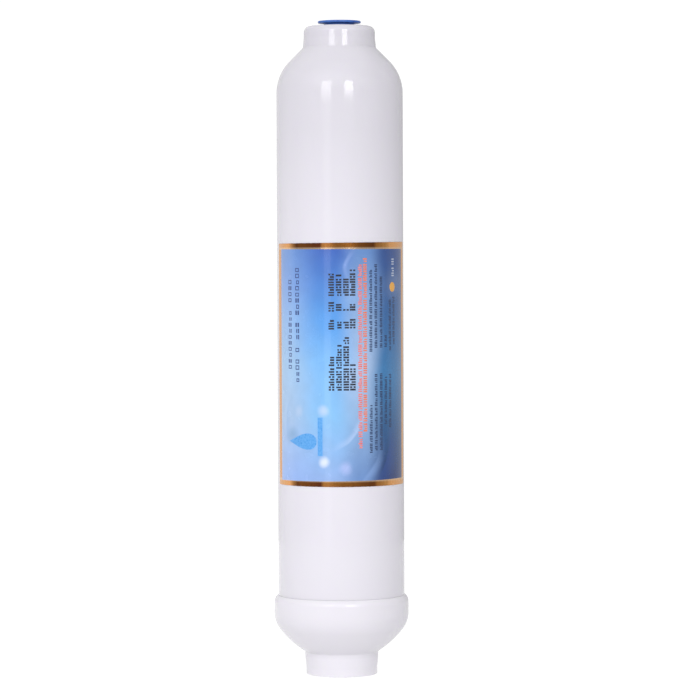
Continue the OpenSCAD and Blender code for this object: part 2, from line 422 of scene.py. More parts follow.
# The print's colour up its left side, its middle, the pale band right of it and its right side. Each
# tone has its height from the label's middle in mm and its colour.
LEFT_TONES = [(-44, (0.31, 0.48, 0.90)), (-20, (0.39, 0.57, 0.85)), (0, (0.37, 0.59, 0.88)),
              (18, (0.29, 0.50, 0.88)), (30, (0.21, 0.38, 0.80)), (44, (0.16, 0.32, 0.72))]
MIDDLE_TONES = [(-44, (0.28, 0.44, 0.80)), (-20, (0.24, 0.53, 0.90)), (-6, (0.22, 0.51, 0.93)),
                (16, (0.095, 0.35, 0.84)), (44, (0.040, 0.13, 0.52))]
PALE_TONES = [(-44, (0.14, 0.27, 0.58)), (-20, (0.29, 0.46, 0.74)), (-2, (0.40, 0.55, 0.82)),
              (20, (0.27, 0.43, 0.72)), (44, (0.13, 0.27, 0.60))]
RIGHT_TONES = [(-44, (0.003, 0.03, 0.16)), (-24, (0.015, 0.10, 0.27)), (-4, (0.035, 0.20, 0.46)),
               (20, (0.02, 0.12, 0.35)), (44, (0.015, 0.065, 0.26))]
# Where across the label each of the last three blends in, in mm. The right side's edge also leans:
# between two heights it shifts from one distance to the other.
TO_MIDDLE = (-23, -7)
TO_PALE = (-4, 7)
TO_RIGHT = (10, 20)
RIGHT_LEAN = (14, 2, 0.7, 1.9)
# How far the picture's tones wander from their places, in mm.
SWAY = 6.0
# Soft spots of light and shade: across and up from the label's middle in mm, radius, how soft the
# edge is from 0 to 1, colour, and how strongly it covers what lies under it.
SPOTS = [
    (3.5, 27, 9.5, 1.0, (0.30, 0.50, 0.86), 0.35),
    (23, 31, 9, 1.0, (0.22, 0.30, 0.50), 0.4),
    (18.5, 42, 7, 1.0, (0.03, 0.10, 0.36), 0.35),
    (-8, -17.5, 3.0, 0.9, (0.62, 0.74, 0.98), 0.75),
    (-18.8, -17.5, 3.0, 0.9, (0.56, 0.70, 0.95), 0.6),
    (-8.3, -37.5, 3.0, 0.9, (0.80, 0.87, 1.0), 0.9),
    (1, -40, 4.2, 0.9, (0.50, 0.58, 0.98), 0.6),
    (-22.5, -27, 5, 1.0, (0.10, 0.30, 0.52), 0.45),
    (-6, 1, 13, 0.7, (0.25, 0.58, 1.0), 0.25),
]
# Soft arcs of the printed waves: the circle's centre and radius in mm, how far the arc fades outwards
# and inwards, where along it the arc is strongest and for how far it shows, its colour and strength.
WAVES = [
    (-15, -25, 36, 8.0, 0.8, (22, -40), 22, (0.02, 0.07, 0.28), 0.75),
    (-15, -25, 31, 4.0, 1.2, (12, -42), 13, (0.26, 0.42, 0.78), 0.45),
    (-12, -12, 22, 1.0, 2.5, (5, -27), 14, (0.52, 0.68, 1.0), 0.5),
    (10, 38, 9, 1.2, 1.5, (2, 39), 8, (0.36, 0.50, 0.92), 0.4),
    (-2, -22, 24, 0.8, 3.0, (-25, -22), 14, (0.22, 0.42, 0.78), 0.3),
]


def label_coordinates(s):
    """Millimetres across and up from the label's middle, as a vector."""
    x, y, z = s.split(s.coords)
    turn = s.math("ARCTAN2", x, s.math("MULTIPLY", y, -1))
    across = s.math("MULTIPLY", turn, BODY_R / MM)
    up = s.math("MULTIPLY_ADD", z, 1 / MM, -LABEL_MID / MM)
    return s.node("CombineXYZ", {0: across, 1: up}).outputs[0]


def tone_ramp(s, value, tones):
    """A ramp of colour through tones at their values, which rise from first to last."""
    low, high = tones[0][0], tones[-1][0]
    ramp = s.node("ValToRGB", {"Fac": s.span(value, low, high)})
    stops = ramp.color_ramp.elements
    for _ in tones[2:]:
        stops.new(0.5)
    for stop, (at, paint) in zip(stops, tones):
        stop.position = (at - low) / (high - low)
        stop.color = (*paint, 1)
    return ramp.outputs["Color"]


def printed_water():
    """A clear-coated print of soft blue water, laid out in mm across and up the label."""
    s = Shader("label_print", IOR=1.5, Coat_Weight=1.0)
    s.main.inputs["Coat Roughness"].default_value = 0.06
    flat = label_coordinates(s)
    sway = s.node("TexNoise", {"Vector": flat, "Scale": 0.05, "Detail": 2}).outputs["Color"]
    sway = s.scaled(s.blend("ADD", sway, (-0.5, -0.5, -0.5)), SWAY)
    flat = s.blend("ADD", flat, sway)
    across, up, _ = s.split(flat)

    def distance(x, y):
        return s.node("VectorMath", {0: flat, 1: (x, y, 0)}, operation="DISTANCE").outputs["Value"]

    lean = s.math("ADD", across, s.span(up, *RIGHT_LEAN))
    color = tone_ramp(s, up, LEFT_TONES)
    for where, blended, tones in ((across, TO_MIDDLE, MIDDLE_TONES), (across, TO_PALE, PALE_TONES),
                                  (lean, TO_RIGHT, RIGHT_TONES)):
        color = s.mix(s.span(where, *blended, smooth_step=True), color, tone_ramp(s, up, tones))
    for x, y, radius, softness, paint, cover in SPOTS:
        inside = s.span(distance(x, y), radius, radius * (1 - softness), 0, cover, smooth_step=True)
        color = s.mix(inside, color, paint)
    for x, y, radius, outwards, inwards, near, reach, paint, cover in WAVES:
        away = distance(x, y)
        outside = s.span(away, radius + outwards, radius, 0, 1, smooth_step=True)
        inside = s.span(away, radius - inwards, radius, 0, 1, smooth_step=True)
        shown = s.span(distance(*near), reach, 0, 0, cover, smooth_step=True)
        color = s.mix(s.math("MULTIPLY", s.math("MULTIPLY", outside, inside), shown), color, paint)
    mottle = s.span(s.noise(0.2, 1, 0.4, flat), 0.3, 0.7, 0.97, 1.03)
    s.set("Base Color", s.scaled(color, mottle))
    s.set("Roughness", s.span(s.noise(250, 1), 0.3, 0.7, 0.22, 0.28))
    s.bump(s.noise(60, 1), 0.01, 0.0003)
    return s.material


def fibrous(name, dark, light, scale, rough=0.9):
    """A matt fibrous or porous stuff, with finer features for a larger scale."""
    s = Shader(name, IOR=1.5)
    s.main.inputs["Sheen Weight"].default_value = 0.3
    s.set("Base Color", s.mix(s.span(s.noise(scale, 6, 0.7), 0.35, 0.65), dark, light))
    s.set("Roughness", s.span(s.noise(scale / 3, 2), 0.3, 0.7, rough - 0.1, rough))
    s.bump(s.noise(scale * 1.7, 4, 0.7), 0.5, 0.0004)
    return s.material


def granules():
    """Dull black grains, with painted shade darkening the gaps between them."""
    s = Shader("granular_carbon", IOR=1.6)
    cells = s.node("TexVoronoi", {"Vector": s.coords, "Scale": 850}, feature="DISTANCE_TO_EDGE")
    edge = cells.outputs["Distance"]
    # Painted shade: the colour darkens towards the cells' edges, in the gaps between the grains.
    s.set("Base Color", s.mix(s.span(edge, 0.02, 0.3), *CARBON_GAP_SHADE_BLACKS))
    s.set("Roughness", s.span(s.noise(1200, 3), 0.3, 0.7, 0.45, 0.8))
    s.bump(s.math("ADD", edge, s.math("MULTIPLY", s.noise(2600, 3), 0.3)), 0.6, 0.0005)
    return s.material


# ---------------------------------------------------------------- the two housing mouldings
def housing():
    """Barrel, dome and inlet neck as one closed lathe, with the inlet's thread cut in its port."""
    rim = arc((NECK_END_R - RIM_ROUND, TOP_Z - RIM_ROUND), RIM_ROUND, 0, 90, 12)
    neck = [(NECK_ROOT_R + CONE_END, TOP_Z - NECK_LEN - CONE_END), (NECK_ROOT_R, TOP_Z - NECK_LEN),
            (NECK_END_R, TOP_Z - NECK_LEN + NECK_DRAFT), rim[0]]
    mouth_z = TOP_Z - MOUTH_DEPTH
    port_low = (PORT_R, CEILING_Z + PORT_CORNER)
    inner_arc = arc((ARC_C_R, ARC_C_Z), DOME_R - WALL, 45, 0, 12)
    ceiling_r = ARC_C_R + (DOME_R - WALL) * math.sqrt(2) - (CEILING_Z - ARC_C_Z)
    ceiling = [port_low, (PORT_R, CEILING_Z), (ceiling_r, CEILING_Z), inner_arc[0]]
    foot = [(BORE_R, LEDGE_Z + FOOT_HEIGHT), (BORE_R, LEDGE_Z), (SPIGOT_R, LEDGE_Z), (SPIGOT_R, BARREL_Z),
            (BODY_R, BARREL_Z), (BODY_R, BARREL_Z + BARREL_EDGE)]
    outline = rounded(foot, JOINT_ROUND)
    outline += stretch((BODY_R, BARREL_Z + BARREL_EDGE + RING_GAP), (BODY_R, ARC_C_Z), 24)
    outline += arc((ARC_C_R, ARC_C_Z), DOME_R, 0, 45, 20)[:-1]
    outline += rounded(neck, NECK_FILLET, 6)[:-1]
    outline += rim[:-1]
    outline += rounded([rim[-1], (MOUTH_R, TOP_Z), (PORT_R, mouth_z)], MOUTH_FILLET)
    outline += stretch((PORT_R, mouth_z - THREAD_RING_GAP), port_low, THREAD_STEPS)
    outline += rounded(ceiling, CEILING_FILLET)
    outline += inner_arc[1:]
    outline += stretch((BORE_R, ARC_C_Z - RING_GAP), (BORE_R, LEDGE_Z + FOOT_HEIGHT + RING_GAP), 8)

    def port_thread(angle, r, z):
        on_wall = abs(r - PORT_R) < TINY and z > CEILING_Z
        return thread_depth(angle, z, CEILING_Z, mouth_z) if on_wall else 0

    bm = bmesh.new()
    lathe(bm, outline, bulge=port_thread)
    for turn in RIB_TURNS:
        box(bm, (STOP_RIB_IN_R, -RIB_HALF, DIFFUSER_TOP),
            (BORE_R + RIB_SINK, RIB_HALF, ARC_C_Z + STOP_RIB_RISE), turn, RIB_BEVEL)
    obj = place(new_object("housing_shell", bm), CARTRIDGE, "housing_plastic", "housing_body")
    put(obj, moulded_plastic("white_polypropylene", *HOUSING_WHITES, rough=0.06, subsurface=0.25,
                             painted_light=HOUSING_PAINTED_LIGHT))


def end_cap():
    """The outlet cap: neck, dome, skirt and rounded shoulder, with the outlet's thread and ribs."""
    dome = arc(CAP_ARC_C, CAP_ARC_R, CAP_NECK_ANGLE, DOME_JOIN, 16)
    skirt = arc(SKIRT_ARC_C, SKIRT_ARC_R, DOME_JOIN, 0, 16)
    shoulder = arc((CAP_R - SHOULDER_R, CAP_TOP - SHOULDER_R * math.sin(math.radians(SHOULDER_SWEEP))),
                   SHOULDER_R, 0, SHOULDER_SWEEP, 10)
    inner_r = CAP_ARC_R - CAP_WALL
    floor = -math.degrees(math.asin((CAP_ARC_C[1] - PORT_DEPTH) / inner_r))
    ledge = -math.degrees(math.acos((LEDGE_IN_R - CAP_ARC_C[0]) / inner_r))
    bowl = arc(CAP_ARC_C, inner_r, ledge, floor, 10)
    base = [(PORT_R, MOUTH_DEPTH), (MOUTH_R, 0), (NECK_END_R, 0), (NECK_END_R, CAP_NECK_STRAIGHT),
            (NECK_ROOT_R, CAP_NECK_TAPER_TOP), dome[0], dome[2]]
    port_corner_z = PORT_DEPTH - PORT_CORNER
    outline = rounded(base, CAP_FILLET, 6)[1:]
    outline += dome[3:] + skirt[1:] + shoulder[:-1]
    outline += rounded([shoulder[-1], (SPIGOT_R, CAP_TOP), (SPIGOT_R, CAP_TOP - CAP_SPIGOT_EDGE)],
                       JOINT_ROUND)[:-1]
    outline += rounded([(SPIGOT_R, LEDGE_Z + CAP_SPIGOT_EDGE), (SPIGOT_R, LEDGE_Z), (LEDGE_IN_R, LEDGE_Z),
                        bowl[0]], CAP_LEDGE_FILLET)
    outline += bowl[1:]
    outline += rounded([bowl[-1], (PORT_R, PORT_DEPTH), (PORT_R, port_corner_z)], CAP_FLOOR_FILLET)[1:]
    outline += stretch((PORT_R, port_corner_z - THREAD_RING_GAP), (PORT_R, MOUTH_DEPTH), THREAD_STEPS)[1:]

    def port_thread(angle, r, z):
        on_wall = abs(r - PORT_R) < TINY and z < PORT_DEPTH
        return thread_depth(-angle, PORT_DEPTH - z, 0, PORT_DEPTH - MOUTH_DEPTH) if on_wall else 0

    bm = bmesh.new()
    lathe(bm, outline, bulge=port_thread)
    sunk = arc(CAP_ARC_C, inner_r + RIB_SINK, ledge, floor, 10)
    web_r = PORT_R + WEB_CLEAR
    web = [(web_r, sunk[-1][1])] + sunk[::-1] + [(sunk[0][0], LEDGE_Z), (web_r, LEDGE_Z)]
    for turn in RIB_TURNS:
        fin(bm, web, RIB_HALF, turn)
    obj = place(new_object("end_cap_shell", bm), CARTRIDGE, "cap_plastic", "end_cap")
    put(obj, moulded_plastic("white_polypropylene_cap", *CAP_WHITES, rough=0.2, subsurface=0.25,
                             painted_light=CAP_PAINTED_LIGHT))


# ---------------------------------------------------------------- the label
def wrap(across, up, radius):
    """The point at a distance across the label and at a height, on a barrel of that radius."""
    turn = across / BODY_R
    return (radius * math.sin(turn), -radius * math.cos(turn), up)


def slab(bm, low, high, inner, outer, columns, rows, shear):
    """A thin curved block between two corners (across, up) and two radii.

    Its low and high edges rise by the two shears for each unit across."""
    def point(i, j, radius):
        across = low[0] + (high[0] - low[0]) * i / columns
        up = low[1] + (high[1] - low[1]) * j / rows
        rise = shear[0] + (shear[1] - shear[0]) * j / rows
        return bm.verts.new(wrap(across, up + rise * across, radius))

    top = [[point(i, j, outer) for j in range(rows + 1)] for i in range(columns + 1)]
    under = [[point(i, j, inner) for j in range(rows + 1)] for i in range(columns + 1)]
    for i in range(columns):
        for j in range(rows):
            bm.faces.new((top[i][j], top[i + 1][j], top[i + 1][j + 1], top[i][j + 1]))
            bm.faces.new((under[i][j], under[i][j + 1], under[i + 1][j + 1], under[i + 1][j]))
        for j in (0, rows):
            bm.faces.new((top[i][j], under[i][j], under[i + 1][j], top[i + 1][j]))
    for j in range(rows):
        for i in (0, columns):
            bm.faces.new((top[i][j], top[i][j + 1], under[i][j + 1], under[i][j]))


FILM_R = LABEL_R - 0.004 * MM
BORDER_BASE_R = LABEL_R - 0.02 * MM
INK_BASE_R = LABEL_R - 0.01 * MM
PRINT_R = LABEL_R + 0.012 * MM
BORDER_TOP = 2.5 * MM
BORDER_LOW = 2.25 * MM
BORDER_SIDE = 3.0 * MM
LABEL_COLUMNS = 96
# The label was cut a little askew: its top edge and the low edge of its picture rise by this much
# for each unit across, and its other edges are level. The print rises by half of it.
ASKEW = 0.0087
PRINT_RISE = (ASKEW / 2, ASKEW / 2)


def label_film():
    """The printed film, bent round the barrel."""
    bm = bmesh.new()
    slab(bm, (-LABEL_HALF, LABEL_BASE), (LABEL_HALF, LABEL_CREST), BODY_R, FILM_R, LABEL_COLUMNS, 4,
         (0.0, ASKEW))
    film = place(new_object("label_film", bm, 60), CARTRIDGE, "label_film", "label")
    put(film, printed_water())


def label_border():
    """The gold border: a band along the low edge and the top, and a strip up each side."""
    bm = bmesh.new()
    low, high = LABEL_BASE + BORDER_LOW, LABEL_CREST - BORDER_TOP
    for base, crest in ((high, LABEL_CREST), (LABEL_BASE, low)):
        slab(bm, (-LABEL_HALF, base), (LABEL_HALF, crest), BORDER_BASE_R, LABEL_R, LABEL_COLUMNS, 1,
             (0.0, ASKEW))
    for side in (-1, 1):
        ends = sorted((side * LABEL_HALF, side * (LABEL_HALF - BORDER_SIDE)))
        slab(bm, (ends[0], low), (ends[1], high), BORDER_BASE_R, LABEL_R, 6, 4, (ASKEW, 0.0))
    border = place(new_object("label_border", bm, 60), CARTRIDGE, "label_film")
    put(border, gold_foil())


# Rows of plain printed blocks, which run up the label in place of lines of print. Each row has its
# place across, its blocks' height, length and gap, and the stretches that it fills, up from the
# label's middle. All are in mm. A stretch may be overrun by ROW_SLACK.
ROW_SLACK = 0.01
HEADING_ROWS = [(-23.6, 1.9, 1.5, 0.85, [(-1.6, 21.5), (24.5, 33.3)]),
                (-19.45, 1.9, 1.6, 0.8, [(-6.7, 2.5), (5, 7.5), (10, 17), (19.5, 39.6)])]
TABLE_ROWS = [
    (-4.55, 2.2, 0.70, 0.30, [(-10, 3.8), (13.8, 17.8), (20.8, 25), (26.9, 35.9)]),
    (-1.65, 2.2, 0.70, 0.30, [(-10, 8.4), (14.2, 17.3), (21.1, 24), (26.9, 35.4)]),
    (1.2, 2.2, 0.70, 0.30, [(-10, 11.5), (14.2, 17.3), (21.1, 22.0), (26.9, 34.3)]),
    (3.8, 2.2, 0.70, 0.30, [(-10, 1.2), (14.2, 18.5), (21.1, 24.5), (26.9, 38)]),
]
NOTICE_ROWS = [(6.75, 1.6, 0.55, 0.24, [(-32.6, 39.1)])]
WARM_ROWS = [(8.8, 1.6, 0.6, 0.26, [(-26.1, 42)])]
SMALL_ROWS = [
    (11.3, 1.25, 0.42, 0.22, [(-34.5, -15.4), (5, 37.9)]),
    (13.6, 1.25, 0.42, 0.22, [(-33.6, -3.5), (6.5, 39.1)]),
    (16.1, 1.25, 0.42, 0.2, [(-33.5, -3.2), (6.5, 35.2)]),
    (18.5, 1.35, 0.42, 0.2, [(-23.4, -5), (6.7, 11.8)]),
    (21.0, 1.45, 0.42, 0.2, [(-24.8, -3.9), (5.3, 26)]),
    (23.4, 1.5, 0.42, 0.2, [(7.6, 26.7)]),
]
PALE_ROWS = [(22.9, 1.6, 0.5, 0.45, [(34.3, 41.4)])]


def print_slab(bm, across, up, columns=2):
    """A printed bar between two places across and two heights, in mm."""
    slab(bm, (across[0] * MM, LABEL_MID + up[0] * MM), (across[1] * MM, LABEL_MID + up[1] * MM),
         INK_BASE_R, PRINT_R, columns, 1, PRINT_RISE)


def block(bm, across, up, stroke, kind):
    """One printed block: a solid bar, a bar split in two, or a hollow frame."""
    if kind == "bar":
        print_slab(bm, across, up)
    elif kind == "split":
        middle = (across[0] + across[1]) / 2
        print_slab(bm, (across[0], middle - stroke / 2), up)
        print_slab(bm, (middle + stroke / 2, across[1]), up)
    else:
        print_slab(bm, across, (up[0], up[0] + stroke))
        print_slab(bm, across, (up[1] - stroke, up[1]))
        print_slab(bm, (across[0], across[0] + stroke), up, 1)
        print_slab(bm, (across[1] - stroke, across[1]), up, 1)


def print_row_set(name, rows, inks, seed, word, kinds=("bar",), stroke=0.0):
    """Rows of plain blocks of the given kinds, in groups whose size lies between word's two numbers.

    inks holds the ink's name, its colour and a paler colour."""
    draw = random.Random(seed)
    bm = bmesh.new()
    for across, height, length, gap, stretches in rows:
        for start, end in stretches:
            up, left = start, draw.randint(*word)
            while up + length <= end + ROW_SLACK:
                tall = height * draw.choice((0.75, 1.0, 1.0))
                base = across + height / 2
                size = length * draw.uniform(0.85, 1.1)
                block(bm, (base - tall, base), (up, up + size), stroke, draw.choice(kinds))
                up += length + gap
                left -= 1
                if left == 0:
                    up += 1.2 * gap + 0.3 * length
                    left = draw.randint(*word)
    put(place(new_object(name, bm, 60), CARTRIDGE, "label_film"), ink(*inks))


def print_rows():
    """Every row of print on the label, by its ink."""
    print_row_set("print_heading", HEADING_ROWS, ("ink_slate", (0.03, 0.06, 0.22), (0.07, 0.12, 0.32)),
                  seed=3, word=(20, 30), kinds=("frame", "frame", "split"), stroke=0.36)
    print_row_set("print_table", TABLE_ROWS, ("ink_black", (0.004, 0.008, 0.02), (0.012, 0.02, 0.05)),
                  seed=5, word=(7, 9), kinds=("bar", "bar", "split"), stroke=0.45)
    print_row_set("print_notice", NOTICE_ROWS, ("ink_red", (0.82, 0.15, 0.13), (0.90, 0.34, 0.32)),
                  seed=7, word=(3, 8))
    print_row_set("print_notice_warm", WARM_ROWS, ("ink_warm_red", (0.82, 0.17, 0.08), (0.86, 0.30, 0.18)),
                  seed=8, word=(3, 8))
    print_row_set("print_small", SMALL_ROWS, ("ink_blue_black", (0.010, 0.028, 0.09), (0.025, 0.06, 0.17)),
                  seed=9, word=(3, 9))
    print_row_set("print_pale", PALE_ROWS, ("ink_pale", (0.42, 0.48, 0.62), (0.5, 0.56, 0.7)),
                  seed=11, word=(3, 5))


def blob(bm, outline, center, rings=5):
    """A flat printed shape on the label, filled from its centre to its outline, in mm."""
    def point(x, y, radius):
        return bm.verts.new(wrap((center[0] + x) * MM, LABEL_MID + (center[1] + y) * MM, radius))

    edges = []
    for radius in (INK_BASE_R, PRINT_R):
        middle = point(0, 0, radius)
        grown = [[point(x * k / rings, y * k / rings, radius) for x, y in outline]
                 for k in range(1, rings + 1)]
        edges.append(grown[-1])
        for i in range(len(outline)):
            j = (i + 1) % len(outline)
            bm.faces.new((middle, grown[0][i], grown[0][j]))
            for near, far in zip(grown, grown[1:]):
                bm.faces.new((near[i], far[i], far[j], near[j]))
    low, high = edges
    for i in range(len(outline)):
        j = (i + 1) % len(outline)
        bm.faces.new((low[i], low[j], high[j], high[i]))


# The drop's half length and half width for a size of one, and how far its tip is drawn out.
DROP_LONG = 0.62
DROP_WIDE = 0.42
DROP_POINT = 1.6


def drop_outline(size, steps=32):
    """A plain water drop whose tip points across the label, to the left."""
    out = []
    for i in range(steps):
        a = 2 * math.pi * i / steps
        pinch = math.sin(a / 2) ** DROP_POINT
        out.append((-size * DROP_LONG * math.cos(a), size * DROP_WIDE * math.sin(a) * pinch))
    return out


def oval(width, height, steps=24):
    """An oval outline round the origin."""
    turns = [2 * math.pi * i / steps for i in range(steps)]
    return [(width / 2 * math.cos(a), height / 2 * math.sin(a)) for a in turns]


# Sizes and places from the label's middle, in mm. The rule has its stretch across and up.
DROP_SIZE = 11
DROP_PLACE = (-17.5, -30)
RULE = ((-10.2, -8.2), (-35.5, -20.5))
DOT_SIZE = (3.4, 3.8)
DOT_PLACE = (22.6, 30.2)


def emblems():
    """A plain drop, a plain rule and a plain dot, in place of any mark."""
    bm = bmesh.new()
    blob(bm, drop_outline(DROP_SIZE), DROP_PLACE)
    print_slab(bm, *RULE, 3)
    drop = place(new_object("label_drop", bm, 60), CARTRIDGE, "label_film")
    put(drop, ink("ink_drop", (0.08, 0.34, 0.80), (0.14, 0.44, 0.88)))
    bm = bmesh.new()
    blob(bm, oval(*DOT_SIZE), DOT_PLACE)
    dot = place(new_object("label_dot", bm, 60), CARTRIDGE, "label_film")
    put(dot, ink("ink_orange", (0.80, 0.38, 0.05), (0.86, 0.46, 0.10)))


# ---------------------------------------------------------------- the dust plug
# The gap under the plug's flange, the radius and rise of the land on the neck, the plug's radius in
# the port's mouth and at its tip, and its wall.
PLUG_FLANGE_GAP = 1.1 * MM
PLUG_LAND_R = 6 * MM
PLUG_LAND_RISE = 0.2 * MM
PLUG_SEAT_R = PORT_R - 0.07 * MM
PLUG_TIP_R = 4.95 * MM
PLUG_WALL = 1.2 * MM


def dust_plug():
    """A hollow tapered push-in plug with a thin round flange."""
    top, tip, flange_r = PLUG_HIGH.z, PLUG_LOW.z, PLUG_HIGH.x
    under = TOP_Z + PLUG_FLANGE_GAP
    outside = [(0, tip), (PLUG_TIP_R, tip), (PLUG_SEAT_R, TOP_Z - MOUTH_DEPTH),
               (PLUG_LAND_R, TOP_Z + PLUG_LAND_RISE), (PLUG_LAND_R, under), (flange_r, under)]
    inside = [(flange_r, top), (PLUG_LAND_R - PLUG_WALL, top), (PLUG_TIP_R - PLUG_WALL, tip + PLUG_WALL),
              (0, tip + PLUG_WALL)]
    bm = bmesh.new()
    lathe(bm, rounded(outside + inside, PLUG_FILLET, 5), SMALL_TURN_STEPS)
    obj = place(new_object("dust_plug", bm, 50), PLUG, "plug_plastic", "inlet_plug")
    put(obj, blue_plastic())


# ---------------------------------------------------------------- the filter stack
def fibres(p):
    """How deep a needled felt's surface lies at a point, about 0 to 1."""
    return 0.5 + 0.5 * noise.fractal(p, 0.7, 2.0, 4)


def pores(p):
    """How deep an open foam's surface lies at a point: deepest in the middle of each cell."""
    near = noise.voronoi(p)[0]
    return 2.5 * (near[1] - near[0])


def grains(p):
    """How deep the surface of packed grains lies at a point: deepest between them."""
    return (noise.voronoi(p)[0][0] / 0.75) ** 2


DISC_EDGE = 1.6 * MM


def rough_disc(name, node, slot, relief, depth, size, spacing):
    """A round body that fills its node: flat where it rests, rounded at its edge and rough all over.

    relief gives how deep the surface lies, from 0 to 1, for features of one unit's size."""
    low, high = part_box(node)
    radius = high.x
    edge = min(DISC_EDGE, (high.z - low.z) * 0.3)
    flats = round((radius - edge) / spacing)
    walls = max(2, round((high.z - low.z - 2 * edge) / spacing))
    outline = stretch((0, low.z), (radius - edge, low.z), flats)
    outline += arc((radius - edge, low.z + edge), edge, -90, 0, 5)[:-1]
    outline += stretch((radius, low.z + edge), (radius, high.z - edge), walls)
    outline += arc((radius - edge, high.z - edge), edge, 0, 90, 5)[:-1]
    outline += stretch((radius - edge, high.z), (0, high.z), flats) + [(0, high.z)]
    bm = bmesh.new()
    lathe(bm, outline, round(2 * math.pi * radius / spacing))
    bmesh.ops.recalc_face_normals(bm, faces=bm.faces)
    bm.normal_update()
    sunk = [v.normal * depth * min(1.0, max(0.0, relief(v.co / size))) for v in bm.verts]
    for v, move in zip(bm.verts, sunk):
        v.co -= move
    return place(new_object(name, bm, 80), CARTRIDGE, slot, node)


# The screens' threads: their spacing, radius, swing up and down, and number of sides.
YARN_GAP = 1.2 * MM
YARN_R = 0.1 * MM
YARN_SWING = 0.9 * YARN_R
YARN_SIDES = 6
SCREEN_RIM = 1.2 * MM
SCREEN_RIM_GAP = 0.01 * MM
SCREEN_FILLET = 0.12 * MM


def yarn(bm, offset, reach, level, along_x, phase):
    """One round thread of a plain weave. It passes over and under the threads that it crosses."""
    count = max(3, 2 * round(2 * reach / YARN_GAP))
    rings = []
    for i in range(count + 1):
        along = -reach + 2 * reach * i / count
        wave = YARN_SWING * math.cos(math.pi * (along / YARN_GAP + phase))
        ring = []
        for k in range(YARN_SIDES):
            a = 2 * math.pi * k / YARN_SIDES
            side, up = offset + YARN_R * math.cos(a), level + wave + YARN_R * math.sin(a)
            ring.append(bm.verts.new((along, side, up) if along_x else (side, along, up)))
        rings.append(ring)
    for low, high in zip(rings, rings[1:]):
        for k in range(YARN_SIDES):
            j = (k + 1) % YARN_SIDES
            bm.faces.new((low[k], low[j], high[j], high[k]))
    bm.faces.new(rings[0])
    bm.faces.new(rings[-1][::-1])


def woven_screen(name, node, material):
    """A plain-woven screen of round threads inside a flat rim where it was cut hot."""
    low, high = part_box(node)
    radius, inner, level = high.x, high.x - SCREEN_RIM, (low.z + high.z) / 2
    bm = bmesh.new()
    yarns = int(radius / YARN_GAP)
    for i in range(-yarns, yarns + 1):
        offset = i * YARN_GAP
        reach = math.sqrt(max(0.0, (radius - SCREEN_RIM / 2) ** 2 - offset ** 2))
        if reach > 2 * YARN_GAP:
            yarn(bm, offset, reach, level, True, i % 2)
            yarn(bm, offset, reach, level, False, i % 2 + 1)
    rim = [(inner, level), (inner, low.z), (radius, low.z), (radius, high.z), (inner, high.z),
           (inner, level + SCREEN_RIM_GAP)]
    lathe(bm, rounded(rim, SCREEN_FILLET, 3), SMALL_TURN_STEPS)
    obj = place(new_object(name, bm, 60), CARTRIDGE, "screen_nylon", node)
    put(obj, material)


def grids():
    """The two pierced discs keep their CAD shape."""
    grid = moulded_plastic("natural_polypropylene", *GRID_WHITES, rough=0.34, subsurface=0.2)
    for node in ("inlet_diffuser", "outlet_grid"):
        put(frame["nodes"][node], grid)


def screens():
    """The inlet's and the outlet's nylon screens."""
    nylon = fibrous("nylon_screen", (0.60, 0.60, 0.58), (0.78, 0.78, 0.76), 900, 0.6)
    woven_screen("inlet_screen", "inlet_mesh", nylon)
    woven_screen("outlet_screen", "outlet_mesh", nylon)


def pads():
    """Two felt pads and a foam pad, with their features' depth and size and their mesh's spacing."""
    needled = fibrous("needled_felt", (0.62, 0.61, 0.58), (0.80, 0.79, 0.76), 1300)
    for name, node in (("inlet_felt_pad", "inlet_felt"), ("outlet_felt_pad", "outlet_felt")):
        felt = rough_disc(name, node, "felt", fibres, 0.35 * MM, 0.9 * MM, 0.5 * MM)
        put(felt, needled)
    foam = rough_disc("inlet_foam_pad", "inlet_foam", "foam", pores, 0.7 * MM, 1.6 * MM, 0.45 * MM)
    put(foam, fibrous("open_cell_foam", (0.45, 0.48, 0.50), (0.74, 0.76, 0.76), 700))


def carbon():
    """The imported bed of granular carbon."""
    bed = rough_disc("carbon_granules", "carbon_bed", "carbon", grains, 0.9 * MM, 2.4 * MM, 0.72 * MM)
    put(bed, granules())


# ---------------------------------------------------------------- floor, light and camera
# The camera's places are in metres, its focal length and sensor in mm and its roll in degrees.
CAMERA_FOCAL = 169.7
CAMERA_DISTANCE = 1.3085
CAMERA_HEIGHT = 0.1694
AIM_HEIGHT = 0.12865
CAMERA_SIDE = 0.00374
CAMERA_ROLL = -0.23
SENSOR_WIDTH = 36
# The photograph looks at the label from a little to its left. The lights turn with the camera.
VIEW_TURN = math.radians(-2.4)
# The softboxes stand this far from the barrel's axis.
SOFTBOX_DISTANCE = 1.5
FLOOR_R = 0.6
FLOOR_SIDES = 96
FLOOR_DROP = 0.05 * MM
# The floor's glow as the camera sees it, and as the object does to its left and right. It changes
# from one to the other between two places across.
FLOOR_SEEN = 0.95
FLOOR_LEFT = 0.96
FLOOR_RIGHT = 0.72
FLOOR_CHANGE = (-0.08, 0.1)
# How bright the white wall is, and the studio that the object sees: low and high in front, high at
# the sides, behind on the left and right, and overhead.
WALL_SEEN = 1.05
FRONT_LOW = 0.50
FRONT_HIGH = 1.85
SIDE_HIGH = 0.35
BACK_LEFT = 1.0
BACK_RIGHT = 0.66
ZENITH = 1.05
# Where these lights blend into each other: two heights on a sphere of radius one, and two turns from
# the front in radians. FACING is the x and y of the direction that is brightest high in front.
FRONT_RISE = (0.08, 0.6)
ZENITH_RISE = (0.72, 0.9)
FRONT_EDGE = (math.radians(86), math.radians(106))
BACK_CHANGE = (-0.6, 0.6)
FACING = (-0.25, -0.97)


